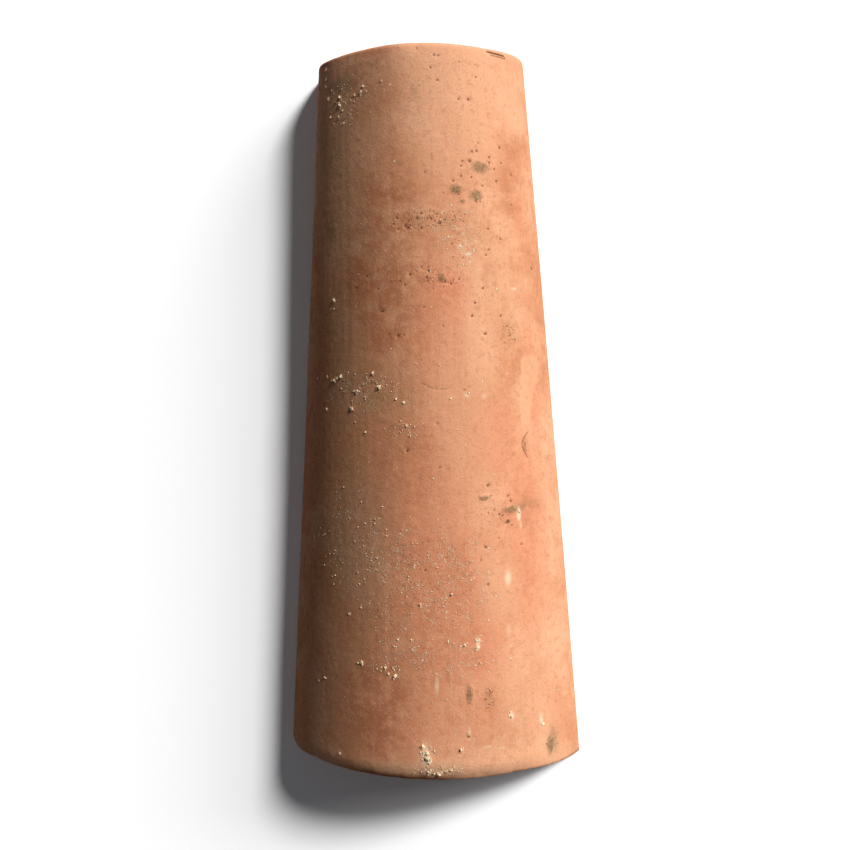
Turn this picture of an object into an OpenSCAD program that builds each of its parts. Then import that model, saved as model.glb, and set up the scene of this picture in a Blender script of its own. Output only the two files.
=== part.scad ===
// Tapered barrel roof tile in fired clay: one solid, crown up, lying on its two long edges.
// Millimetres. Z is up from the floor, Y runs along the tile from the wide end to the narrow end.

/* [Tile] */
// Length over the two end rims
tile_length = 500; // [350:5:600]
// Outer width across the feet at the wide end
wide_width = 220; // [190:1:260]
// Outer width across the feet at the narrow end
narrow_width = 150; // [130:1:180]
// Height of the crown over the floor at the wide end
wide_height = 78; // [62:1:95]
// Height of the crown over the floor at the narrow end
narrow_height = 68; // [50:1:76]
// Thickness of the fired wall
wall = 12; // [8:0.5:16]

/* [Edges] */
// Radius of the wiped nose along the wide rim, as a share of the wall
wide_nose_share = 0.6; // [0.55:0.01:1]
// Radius of the wiped nose along the narrow rim, as a share of the wall
narrow_nose_share = 0.7; // [0.55:0.01:1]
// Break on the outer and inner corner of each long edge
foot_break = 1.5; // [0.5:0.1:3]

/* [Hidden] */
$fa = 2;
$fs = 0.8;

// Each end section is an arc of a circle standing on the floor: its radius from chord and height
function arc_radius(chord, rise) = (chord * chord / 4 + rise * rise) / (2 * rise);
// Half the width at the floor of a circle sunk below it
function half_chord(radius, sunk) = sqrt(radius * radius - sunk * sunk);

wide_radius = arc_radius(wide_width, wide_height);
narrow_radius = arc_radius(narrow_width, narrow_height);
wide_sunk = wide_radius - wide_height;
narrow_sunk = narrow_radius - narrow_height;
axis_rise = (wide_sunk - narrow_sunk) / tile_length;
taper = (wide_radius - narrow_radius) / tile_length;
wide_nose = wide_nose_share * wall;
narrow_nose = narrow_nose_share * wall;
wide_inside = 2 * half_chord(wide_radius - wall, wide_sunk);
narrow_inside = 2 * half_chord(narrow_radius - wall, narrow_sunk);
overrun = wall;
break_slope = 45;
clay = [0.76, 0.52, 0.38];

// Room beyond a circle that rounds one end of the wall; the wall's middle runs through its centre
module nose_waste(at, radius, side) {
    mid = wide_radius - wall / 2 - taper * at;
    difference() {
        translate([mid, at + side * (radius + overrun)])
            square(2 * [radius + overrun, radius + overrun], center = true);
        translate([mid, at]) circle(radius);
    }
}

// Long section of the wall: a straight tapering strip with a round nose at each end
module wall_section() {
    difference() {
        polygon([
            [wide_radius - wall + taper * overrun, -overrun],
            [wide_radius + taper * overrun, -overrun],
            [narrow_radius - taper * overrun, tile_length + overrun],
            [narrow_radius - wall - taper * overrun, tile_length + overrun]
        ]);
        nose_waste(wide_nose, wide_nose, -1);
        nose_waste(tile_length - narrow_nose, narrow_nose, 1);
    }
}

// Full conical shell with its axis along Y, leaned in the vertical plane only, so that the axis
// climbs toward the narrow end while both end rims stay plumb
module leaned_shell() {
    multmatrix([
        [1, 0, 0, 0],
        [0, 1, 0, -tile_length / 2],
        [0, axis_rise, 1, -wide_sunk],
        [0, 0, 0, 1]
    ])
        rotate([-90, 0, 0]) rotate_extrude() wall_section();
}

// Everything under the floor
module below_floor() {
    depth = wide_radius + wide_sunk + overrun;
    translate([0, 0, -depth / 2])
        cube([2 * (wide_radius + overrun), tile_length + 2 * overrun, depth], center = true);
}

// Sloping cut along a straight line on the floor from one end width to the other;
// lean is the slope of the cut face, inset is how far it starts in from the line
module floor_line_cut(wide_at, narrow_at, inset, lean) {
    swing = atan((wide_at - narrow_at) / 2 / tile_length);
    translate([(wide_at + narrow_at) / 4 + inset, 0, 0])
        rotate([0, 0, swing])
        rotate([0, lean, 0])
        translate([0, 0, -overrun / 2])
        cube([overrun, tile_length + wide_width, overrun], center = true);
}

// Breaks on both corners of one long edge
module foot_breaks() {
    floor_line_cut(wide_width, narrow_width, -foot_break, -break_slope);
    floor_line_cut(wide_inside, narrow_inside, foot_break, break_slope);
}

module roof_tile() {
    color(clay)
    difference() {
        leaned_shell();
        below_floor();
        foot_breaks();
        mirror([1, 0, 0]) foot_breaks();
    }
}

roof_tile();
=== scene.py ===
"""Looks of a weathered barrel roof tile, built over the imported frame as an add-on that runs as a script."""

import math
import random

import bmesh
import bpy
from bpy.props import FloatProperty, FloatVectorProperty, IntProperty, PointerProperty
from bpy.types import Operator, Panel, PropertyGroup
from mathutils import Color, Euler, Matrix, Vector, noise
from mathutils.kdtree import KDTree


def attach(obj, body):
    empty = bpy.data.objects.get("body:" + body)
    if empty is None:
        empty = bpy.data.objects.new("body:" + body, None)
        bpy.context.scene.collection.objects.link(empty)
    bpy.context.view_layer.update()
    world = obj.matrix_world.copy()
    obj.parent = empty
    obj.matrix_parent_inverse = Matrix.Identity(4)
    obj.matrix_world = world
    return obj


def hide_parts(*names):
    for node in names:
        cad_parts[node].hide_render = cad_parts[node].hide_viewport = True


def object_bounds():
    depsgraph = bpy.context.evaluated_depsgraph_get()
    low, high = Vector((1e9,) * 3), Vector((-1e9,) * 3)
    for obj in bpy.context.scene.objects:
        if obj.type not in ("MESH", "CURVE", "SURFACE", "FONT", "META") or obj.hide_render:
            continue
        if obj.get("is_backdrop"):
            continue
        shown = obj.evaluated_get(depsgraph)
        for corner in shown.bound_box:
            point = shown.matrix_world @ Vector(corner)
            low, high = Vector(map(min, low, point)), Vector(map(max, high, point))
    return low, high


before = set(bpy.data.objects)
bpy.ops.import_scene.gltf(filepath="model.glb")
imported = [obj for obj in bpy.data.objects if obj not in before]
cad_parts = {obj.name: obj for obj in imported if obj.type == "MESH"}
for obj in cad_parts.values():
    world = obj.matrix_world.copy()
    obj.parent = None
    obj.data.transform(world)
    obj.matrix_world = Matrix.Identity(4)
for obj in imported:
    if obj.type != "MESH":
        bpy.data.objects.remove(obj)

bl_info = {
    "name": "Weathered Roof Tile",
    "version": (1, 0, 0),
    "blender": (4, 5, 0),
    "location": "3D View > Sidebar > Roof Tile",
    "description": "Models a worn barrel roof tile of fired clay with its mortar crumbs, lichen and pits",
    "category": "Add Mesh",
}

CAD_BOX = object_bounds()
TILE_NODE = "roof_tile"
TILE_PIECE = "fired_tile"
CRUMB_PIECE = "mortar_crumbs"
BODY = "root"
MM = 0.001
IMAGE_SIZE = 850
SENSOR_WIDTH = 36.0
WHITE = (1.0, 1.0, 1.0)
MATT_GLOSS = 0.03

# Marks on the crown side are written as they are seen: pixel across, pixel down, then sizes in mm.

# Small holes: width and depth
PITS = (
    (434, 55, 2.2, 0.6), (438, 55.5, 2.4, 0.6), (430, 68, 1.8, 0.5), (437, 80, 2.2, 0.7),
    (459, 62, 1.8, 0.4), (417, 48, 1.6, 0.4), (476, 77, 2.0, 0.5), (468, 99, 2.4, 0.8), (458, 99, 2.0, 0.5),
    (478, 143, 1.8, 0.5), (500, 148, 2.6, 0.5), (472, 151, 2.4, 0.6), (476, 151, 2.8, 0.6),
    (469, 161, 2.8, 0.7), (462, 161, 2.0, 0.4), (461, 166, 2.0, 0.5), (489, 157, 2.0, 0.5),
    (489, 163, 2.2, 0.5), (494, 169, 2.0, 0.4), (501, 163, 1.8, 0.4), (496, 182, 2.8, 0.8),
    (511, 175, 2.4, 0.6), (453, 181, 2.2, 0.6), (425, 172, 1.8, 0.5), (482, 186, 1.8, 0.5),
    (471, 177, 1.8, 0.4), (461, 176, 1.8, 0.3), (458, 194, 1.8, 0.4), (476, 202, 2.2, 0.5),
    (480, 202, 1.8, 0.4), (511, 205, 1.8, 0.3), (439, 223, 2.6, 0.6), (405, 226, 2.6, 0.5),
    (398, 229, 2.0, 0.4), (417, 218, 3.0, 0.5), (463, 221, 2.2, 0.5), (421, 213, 2.0, 0.4),
    (397, 218, 2.0, 0.4), (431, 219, 2.0, 0.4), (445, 220, 2.4, 0.5), (408, 228, 2.0, 0.4),
    (421, 228, 1.8, 0.4), (394, 224, 1.8, 0.4), (488, 229, 2.0, 0.5), (500, 239, 2.0, 0.5),
    (486, 255, 1.8, 0.5), (421, 267, 2.2, 0.5), (428, 267, 2.0, 0.4), (429, 271, 2.4, 0.5),
    (427, 277, 2.0, 0.4), (367, 276, 2.0, 0.4), (378, 289, 1.8, 0.4), (356, 288, 1.8, 0.4),
    (405, 285, 2.0, 0.4), (410, 274, 2.0, 0.4), (445, 282, 2.2, 0.6), (400, 281, 1.6, 0.3),
    (451, 284, 2.4, 0.7), (428, 281, 1.8, 0.5), (459, 279, 2.2, 0.5), (483, 288, 3.0, 0.7),
    (475, 303, 2.4, 0.5), (424, 307, 1.6, 0.4), (382, 311, 3.0, 0.8), (472, 316, 2.6, 0.8),
    (501, 316, 2.2, 0.7), (507, 326, 2.2, 0.6), (515, 340, 2.4, 0.6), (485, 334, 2.6, 0.8),
    (398, 336, 2.2, 0.7), (404, 335, 1.8, 0.5), (443, 326, 1.6, 0.4), (437, 424, 2.0, 0.6),
    (407, 451, 2.4, 0.8), (440, 467, 2.2, 0.6), (488, 485, 2.4, 0.7), (491, 496, 1.6, 0.4),
    (508, 496, 2.0, 0.5), (511, 501, 2.4, 0.4), (494, 510, 2.8, 0.7), (488, 513, 1.6, 0.3),
    (500, 514, 2.2, 0.4), (503, 515, 1.8, 0.4), (508, 521, 2.8, 0.5), (512, 525, 2.0, 0.3),
    (486, 547, 2.4, 0.7), (522, 544, 2.4, 0.8), (499, 538, 1.8, 0.5), (481, 560, 2.0, 0.5),
    (488, 584, 2.2, 0.6), (425, 570, 2.0, 0.5), (463, 577, 1.8, 0.4), (532, 269, 2.0, 0.5),
    (464, 390, 1.6, 0.4), (530, 466, 1.8, 0.5), (469, 737, 2.2, 0.5),
)

# Grey-green crust: width across and length along
LICHEN = (
    (480, 167, 15.0, 9.0), (456, 189, 9.5, 7.5), (476, 195, 11.0, 8.0), (463, 201, 4.5, 3.5),
    (442.5, 277, 6.0, 6.0), (485, 497.5, 9.0, 3.6), (483, 498, 6.0, 3.0), (511, 509, 13.5, 5.2),
    (508, 521, 6.0, 3.5), (470, 694, 5.0, 14.0), (550, 744, 8.0, 13.0),
)

# Thin grey-brown film: width, length and strength
SMEARS = (
    (521, 506, 16.0, 9.0, 0.8), (533, 502, 18.0, 9.0, 0.6), (524, 445, 4.2, 11.0, 1.0),
    (489, 698, 9.0, 14.0, 0.6), (341, 87, 25.0, 12.0, 1.2), (415, 93, 12.0, 11.0, 0.6),
    (553, 739, 13.0, 22.0, 0.9), (330, 232, 14.0, 26.0, 0.8), (338, 290, 14.0, 12.0, 0.6),
    (487, 182, 12.0, 12.0, 0.5),
)

# Cream smears of lime: width, length and strength
LIME = (
    (508, 578, 5.5, 11.0, 0.75), (507, 566, 2.6, 10.0, 0.35), (508, 631, 5.0, 13.0, 0.45),
    (518, 632, 3.0, 8.0, 0.35), (510, 646, 6.0, 2.5, 0.45), (519, 514, 3.4, 9.0, 1.0),
    (521, 525, 2.2, 9.0, 0.6), (437, 686, 3.0, 13.0, 0.65), (470, 733, 2.6, 11.0, 0.55),
    (467, 395, 5.0, 4.0, 0.6), (484, 396, 6.0, 4.0, 0.5), (514, 289, 7.0, 3.0, 0.6),
    (468, 254, 5.0, 2.6, 0.9), (457, 229, 3.0, 2.4, 0.6), (452, 237, 3.0, 2.6, 0.6),
    (463, 234, 2.4, 3.0, 0.6), (460, 246, 3.4, 4.0, 0.7), (466, 243, 2.4, 3.0, 0.6),
    (470, 262, 2.4, 2.4, 0.6), (475, 240, 2.2, 2.6, 0.5), (448, 226, 2.4, 2.2, 0.5),
    (443, 212, 5.0, 3.0, 0.5), (465, 212, 4.0, 3.0, 0.5), (425, 754, 7.0, 17.0, 0.7),
    (548, 634, 4.0, 9.0, 0.4), (526, 283, 5.0, 12.0, 0.35), (531, 290, 5.0, 10.0, 0.3),
    (440, 444, 3.0, 3.0, 0.4), (488, 747, 9.0, 2.5, 0.55), (502, 748, 8.0, 2.0, 0.5),
    (514, 337, 5.0, 5.0, 0.4), (511, 560, 4.0, 5.0, 0.4), (512, 716, 4.5, 6.0, 0.7),
    (541, 719, 3.5, 10.0, 0.7), (497, 123, 14.0, 9.0, 0.35), (478, 643, 4.0, 9.0, 0.7),
    (440, 773, 22.0, 5.0, 0.45), (338, 379, 9.0, 4.0, 0.6), (430, 60, 30.0, 3.0, 0.3),
)

# Mortar crumbs: width
CRUMBS = (
    (329, 99, 2.6), (326, 80, 1.9), (326, 70, 1.7), (326, 88, 1.8), (340, 98, 3.0), (340, 105, 3.0),
    (339, 117, 2.2), (344, 123, 1.8), (331, 118, 2.1), (343, 111, 1.8), (349, 113, 1.5), (361, 92, 2.6),
    (363, 87, 2.0), (355, 95, 1.7), (367, 91, 1.6), (381, 82, 1.6), (337, 102, 1.7), (344, 102, 1.4),
    (334, 301, 2.4), (334, 309, 1.2), (334, 381, 3.4), (337, 379, 1.8), (341, 377, 2.6), (318, 378, 1.5),
    (327, 376, 1.6), (373, 373, 2.0), (379, 387, 3.2), (357, 392, 2.8), (354, 391, 1.6), (352, 409, 2.8),
    (327, 409, 1.6), (396, 399, 1.6), (404, 402, 1.9), (407, 426, 2.0), (416, 364, 1.4), (440, 365, 1.1),
    (451, 399, 1.6), (468, 393, 1.8), (365, 432, 1.5), (355, 422, 1.3), (385, 429, 1.1), (410, 436, 1.2),
    (451, 594, 2.0), (421, 605, 2.2), (398, 640, 1.8), (411, 640, 1.4), (448, 641, 1.6), (454, 643, 1.5),
    (465, 645, 2.4), (478, 640, 2.8), (478, 647, 2.8), (480, 663, 1.6), (362, 662, 3.2), (358, 663, 1.6),
    (385, 668, 2.2), (393, 667, 1.6), (395, 676, 3.0), (389, 674, 1.9), (325, 677, 2.0), (319, 680, 1.4),
    (422, 746, 3.2), (427, 759, 4.6), (424, 753, 2.6), (461, 750, 2.6), (340, 753, 2.3), (439, 775, 2.4),
    (451, 771, 2.1), (446, 772, 1.7), (429, 773, 1.7), (434, 774, 1.5), (511, 716, 2.8), (510, 712, 1.6),
    (542, 724, 2.8), (539, 720, 1.6), (361, 607, 2.0), (349, 614, 2.0), (358, 572, 1.4), (334, 584, 1.2),
    (330, 554, 1.3), (349, 519, 1.5), (365, 524, 1.3), (402, 530, 1.3), (414, 547, 1.1), (519, 512, 2.0),
)

# Fields of cream specks: half width and half height in pixels, then how many crumbs stand out of them
SPECK_FIELDS = (
    (346, 105, 26, 22, 40), (360, 390, 42, 18, 26), (350, 535, 40, 50, 44), (420, 584, 66, 50, 44),
    (457, 240, 22, 24, 6), (402, 430, 16, 9, 5), (430, 655, 60, 20, 12), (388, 671, 16, 8, 14),
    (440, 771, 24, 6, 20), (446, 226, 40, 9, 2), (425, 752, 10, 14, 10), (474, 642, 18, 8, 10),
)

# Areas of rusty specks: half width and half height in pixels, then strength
GRIME_ZONES = (
    (426, 219, 46, 13, 1.0), (440, 276, 32, 13, 0.9), (478, 158, 40, 22, 0.3), (480, 192, 44, 18, 0.45),
    (508, 334, 15, 16, 0.9), (399, 334, 14, 9, 0.7), (496, 514, 26, 16, 0.6), (488, 560, 12, 34, 0.5),
    (446, 62, 34, 22, 0.5), (424, 95, 34, 26, 0.5), (489, 699, 8, 12, 1.0), (476, 238, 34, 20, 0.45),
    (476, 303, 40, 22, 0.35), (378, 308, 14, 10, 0.5), (552, 742, 10, 14, 0.8), (526, 318, 12, 40, 0.3),
    (525, 445, 4, 11, 1.0), (425, 580, 62, 58, 0.6), (365, 392, 46, 20, 0.8), (356, 535, 42, 54, 0.6),
    (346, 105, 26, 22, 0.6), (382, 278, 36, 14, 0.6), (456, 240, 26, 26, 0.6),
)

# Tinted areas: half width and half height in pixels, then strength
OCHRE_ZONES = (
    (378, 112, 20, 36, 0.35), (362, 250, 30, 66, 0.6), (365, 392, 60, 26, 0.9), (338, 520, 36, 110, 0.9),
    (460, 244, 36, 26, 0.3), (340, 640, 34, 60, 0.8), (505, 300, 26, 50, 0.25), (372, 275, 30, 20, 0.5),
    (338, 330, 26, 60, 0.6), (346, 180, 24, 90, 0.6), (352, 345, 26, 70, 0.6), (330, 715, 34, 50, 0.7),
    (356, 580, 26, 60, 0.6),
)
ROSY_ZONES = (
    (438, 560, 48, 150, 1.0), (430, 180, 40, 30, 0.2), (430, 340, 50, 30, 0.3), (480, 570, 60, 60, 0.6),
    (390, 720, 90, 36, 0.7), (526, 530, 24, 110, 0.9), (470, 690, 60, 50, 0.6), (436, 300, 30, 60, 0.6),
    (496, 446, 14, 24, 0.5), (472, 625, 40, 70, 1.0), (442, 330, 32, 80, 1.0), (490, 440, 36, 46, 1.0),
    (455, 640, 60, 60, 0.9), (510, 85, 9, 26, 0.5), (519, 214, 9, 24, 0.5), (530, 360, 9, 50, 0.6),
    (536, 430, 9, 50, 0.6), (541, 520, 10, 44, 0.6), (546, 590, 10, 40, 0.5),
)
# Paler areas: those on the shaded left flank near both ends, and on the crown by the narrow rim, are painted
# light; the rest are paler clay
PALE_AND_PAINTED_LIGHT_ZONES = (
    (464, 78, 72, 46, 1.0), (432, 50, 34, 12, 0.8), (446, 150, 34, 40, 0.6), (500, 122, 26, 18, 0.6),
    (480, 255, 40, 14, 0.3), (460, 372, 30, 58, 0.6), (484, 520, 18, 90, 0.3), (517, 690, 20, 44, 0.5),
    (552, 660, 20, 90, 0.5), (520, 285, 20, 14, 0.5), (328, 230, 9, 50, 0.4), (432, 56, 40, 24, 1.0),
    (460, 120, 50, 66, 0.8), (480, 350, 22, 52, 1.0), (482, 496, 20, 40, 0.7), (518, 690, 22, 40, 0.8),
    (330, 95, 22, 46, 1.0), (466, 430, 32, 100, 0.5), (500, 590, 24, 34, 0.7), (540, 690, 26, 50, 0.6),
    (425, 52, 26, 16, 1.0), (316, 715, 18, 50, 0.9), (500, 766, 40, 9, 1.0), (368, 142, 28, 22, 0.5),
    (330, 754, 20, 10, 1.0), (336, 67, 20, 10, 1.0),
)
# Deeper areas: those on the shaded left flank and at the top of the right flank are painted shade; the rest
# are deeper, redder clay
DEEP_AND_PAINTED_SHADE_ZONES = (
    (378, 264, 44, 90, 1.0), (378, 708, 38, 48, 1.0), (400, 640, 56, 60, 0.45), (438, 600, 44, 70, 0.3),
    (512, 178, 22, 48, 0.6), (531, 507, 15, 28, 0.5), (384, 76, 16, 40, 0.5), (400, 470, 40, 60, 0.25),
    (376, 545, 30, 50, 0.5), (458, 662, 26, 24, 0.4),
)
# Dust: those on the shaded left flank near both ends are painted light; the rest are dust
DUST_AND_PAINTED_LIGHT_ZONES = (
    (334, 108, 24, 66, 1.0), (425, 772, 60, 8, 0.8), (348, 180, 22, 70, 0.4), (346, 350, 24, 56, 0.4),
    (360, 545, 36, 70, 0.5), (345, 384, 30, 26, 0.4), (318, 720, 16, 46, 0.5), (328, 757, 24, 8, 0.6),
)

# Pale lengthwise streaks: half width and half height in pixels, then strength
STREAK_ZONES = (
    (448, 690, 34, 56, 1.0), (500, 735, 44, 18, 0.8), (470, 600, 46, 50, 0.6), (526, 290, 14, 30, 0.9),
    (478, 275, 16, 18, 0.7), (512, 335, 12, 16, 0.6), (520, 640, 16, 24, 0.7), (505, 425, 26, 40, 0.4),
    (440, 110, 60, 40, 0.4), (424, 64, 28, 28, 0.9),
)

# Rubbed wedge down the right flank, along its sharp edge: the width in mm follows each place
RUB_LINE = ((521, 346, 40), (521, 370, 32), (520.5, 392, 21), (520.5, 414, 14), (522, 434, 4))

# Fine dark lines, each with its strength: scores on the narrow rim, a crack, the edges of a flake
SCORES = (
    (((488, 51.5), (497, 54), (505.5, 57)), 1.3),
    (((491, 54.8), (505.5, 59.2)), 0.9),
    (((423, 384.5), (431, 388), (437, 389.5), (444, 389.5), (451, 388)), 0.66),
    (((527.5, 432.5), (524, 438), (521.8, 443), (522.3, 447), (524.5, 452), (528, 458)), 0.85),
    (((526, 441), (525, 446), (526, 451), (528, 458)), 0.66),
    (((528, 458), (530.5, 466)), 0.6),
    (((537, 400), (535, 412), (531, 424), (527.5, 433.5)), 0.5),
)


class TileShape(PropertyGroup):
    """Sizes of the tile, as its maker would give them."""

    length: FloatProperty(
        name="Length", description="Length over both end rims",
        unit="LENGTH", default=(CAD_BOX[1] - CAD_BOX[0]).y,
    )
    wide_width: FloatProperty(
        name="Wide end", description="Outer width across the feet at the wide end",
        unit="LENGTH", default=0.220,
    )
    narrow_width: FloatProperty(
        name="Narrow end", description="Outer width across the feet at the narrow end",
        unit="LENGTH", default=0.150,
    )
    wide_height: FloatProperty(
        name="Wide crown", description="Height of the crown at the wide end", unit="LENGTH", default=0.078,
    )
    narrow_height: FloatProperty(
        name="Narrow crown", description="Height of the crown at the narrow end",
        unit="LENGTH", default=0.068,
    )
    wall: FloatProperty(
        name="Wall", description="Thickness of the fired wall", unit="LENGTH", default=0.012,
    )
    wide_nose: FloatProperty(
        name="Wide nose", description="Radius of the wiped nose on the wide rim",
        unit="LENGTH", default=0.0072,
    )
    narrow_nose: FloatProperty(
        name="Narrow nose", description="Radius of the wiped nose on the narrow rim",
        unit="LENGTH", default=0.0084,
    )
    shoulder: FloatProperty(
        name="Shoulder", description="How far the narrow end's left shoulder warped out of a true arc",
        unit="LENGTH", default=0.0027,
    )
    ridge: FloatProperty(
        name="Ridge", description="How far the narrow end's crown stands out of a true arc",
        unit="LENGTH", default=0.0008,
    )
    wide_wear: FloatProperty(
        name="Wide wear", description="How far the wide rim's outer edge is worn down",
        unit="LENGTH", default=0.0022,
    )
    narrow_wear: FloatProperty(
        name="Narrow wear", description="How far the narrow rim's outer edge is worn down",
        unit="LENGTH", default=0.0008,
    )
    foot_round: FloatProperty(
        name="Foot round", description="Rounding of the corners of the long edges",
        unit="LENGTH", default=0.0016,
    )
    columns: IntProperty(name="Columns", description="Steps of the skin across the arch", default=184)
    outer_rows: IntProperty(
        name="Outer rows", description="Steps of the crown side along the tile", default=372,
    )
    inner_rows: IntProperty(
        name="Inner rows", description="Steps of the hollow side along the tile", default=72,
    )
    nose_rows: IntProperty(name="Nose rows", description="Steps round the nose of each rim", default=8)


class TileRelief(PropertyGroup):
    """Depth of the marks that making and weather left on the skin."""

    sway: FloatProperty(
        name="Sway", description="Slow waves from drying and firing", unit="LENGTH", default=0.0007,
    )
    drag: FloatProperty(
        name="Drag lines", description="Lengthwise lines from wiping the wet clay",
        unit="LENGTH", default=0.00007,
    )
    grain: FloatProperty(
        name="Grain", description="Unevenness of the worn skin", unit="LENGTH", default=0.00013,
    )
    chips: FloatProperty(
        name="Rim chips", description="Depth of the nibbled end rims", unit="LENGTH", default=0.0012,
    )
    crust: FloatProperty(
        name="Crust", description="Thickness of the lichen crust", unit="LENGTH", default=0.0004,
    )
    rub: FloatProperty(name="Rub", description="Depth of the rubbed wedge", unit="LENGTH", default=0.00025)
    score: FloatProperty(
        name="Scores", description="Depth of the fine lines", unit="LENGTH", default=0.0002,
    )
    seed: IntProperty(name="Seed", description="Start of every random draw", default=7)


class ClayColours(PropertyGroup):
    """Colours of the fired clay and of what has settled on it, in linear light; some are also laid as painted
    light and painted shade.
    """

    body: FloatVectorProperty(
        name="Clay", description="Main colour of the fired clay",
        subtype="COLOR", default=(0.70, 0.298, 0.150),
    )
    # Also laid as painted shade on the shaded left flank and at the top of the right flank
    deep: FloatVectorProperty(
        name="Deep clay", description="Darker, redder firing",
        subtype="COLOR", default=(0.53, 0.192, 0.089),
    )
    # Also laid as painted light on the shaded left flank's ends and on the crown by the narrow rim
    pale: FloatVectorProperty(
        name="Pale clay", description="Paler, sandier firing",
        subtype="COLOR", default=(0.885, 0.452, 0.259),
    )
    rosy: FloatVectorProperty(
        name="Rosy clay", description="Pinker areas of the skin",
        subtype="COLOR", default=(0.785, 0.275, 0.142),
    )
    ochre: FloatVectorProperty(
        name="Ochre film", description="Dusty film in the ochre areas",
        subtype="COLOR", default=(0.50, 0.27, 0.115),
    )
    # Also the colour of painted light on the shaded left flank's ends
    dust_and_painted_light_tint: FloatVectorProperty(
        name="Dust", description="Grey-beige dust", subtype="COLOR", default=(0.66, 0.40, 0.23),
    )
    # Also the colour of the painted shade along the wide rim's arris
    rust: FloatVectorProperty(
        name="Rusty specks", description="Red-brown specks of grime",
        subtype="COLOR", default=(0.28, 0.085, 0.034),
    )
    pit: FloatVectorProperty(
        name="Pit", description="Dirt in the small holes", subtype="COLOR", default=(0.13, 0.045, 0.021),
    )
    lichen: FloatVectorProperty(
        name="Lichen", description="Grey-green crust", subtype="COLOR", default=(0.275, 0.195, 0.095),
    )
    moss: FloatVectorProperty(
        name="Dark lichen", description="Darker, browner crust",
        subtype="COLOR", default=(0.165, 0.105, 0.050),
    )
    lime: FloatVectorProperty(
        name="Lime", description="Cream lime smears and mortar crumbs",
        subtype="COLOR", default=(0.95, 0.775, 0.525),
    )


class StageLook(PropertyGroup):
    """Camera, light and floor."""

    camera_place: FloatVectorProperty(
        name="Camera place", description="Where the camera stands", subtype="XYZ", unit="LENGTH",
        default=(0.1482, 0.0246, 0.7609),
    )
    camera_turn: FloatVectorProperty(
        name="Camera turn", description="Turn of the camera about X, Y and Z, in degrees",
        default=(-2.770, 11.086, -1.069),
    )
    focal_pixels: FloatProperty(
        name="Focal length", description="Focal length in pixels of the square picture", default=1042.5,
    )
    key_from: FloatVectorProperty(
        name="Key from", description="Direction that the key light comes from",
        subtype="DIRECTION", default=(0.611, 0.567, 0.552),
    )
    key_strength: FloatProperty(name="Key", description="Strength of the key light", default=2.26)
    key_softness: FloatProperty(
        name="Key softness", description="Width of the key light in the sky, in degrees", default=12.0,
    )
    side_from: FloatVectorProperty(
        name="Side from", description="Direction that the low side light comes from",
        subtype="DIRECTION", default=(0.80, 0.574, 0.174),
    )
    side_strength: FloatProperty(name="Side", description="Strength of the low side light", default=2.75)
    side_softness: FloatProperty(
        name="Side softness", description="Width of the low side light in the sky, in degrees",
        default=40.0,
    )
    sky_colour: FloatVectorProperty(
        name="Sky", description="Colour and strength of the even fill",
        subtype="COLOR", default=(0.047, 0.047, 0.050),
    )
    floor_colour: FloatVectorProperty(
        name="Floor", description="Colour of the floor to the camera",
        subtype="COLOR", default=(1.80, 1.80, 1.80),
    )
    floor_bounce: FloatVectorProperty(
        name="Floor bounce", description="Colour of the floor to bounced light",
        subtype="COLOR", default=(0.32, 0.32, 0.33),
    )
    floor_reach: FloatProperty(
        name="Floor reach", description="How far the floor runs on each side", unit="LENGTH", default=6.0,
    )
    floor_drop: FloatProperty(
        name="Floor drop", description="How far the floor lies under the feet",
        unit="LENGTH", default=0.0002,
    )


def smooth(value):
    """Smooth step from 0 to 1."""
    v = min(1.0, max(0.0, value))
    return v * v * (3 - 2 * v)


def hump(value, low, high):
    """Smooth hump: 1 midway between low and high, 0 outside them."""
    share = (value - low) / (high - low)
    return math.sin(math.pi * share) ** 2 if 0 < share < 1 else 0.0


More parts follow.
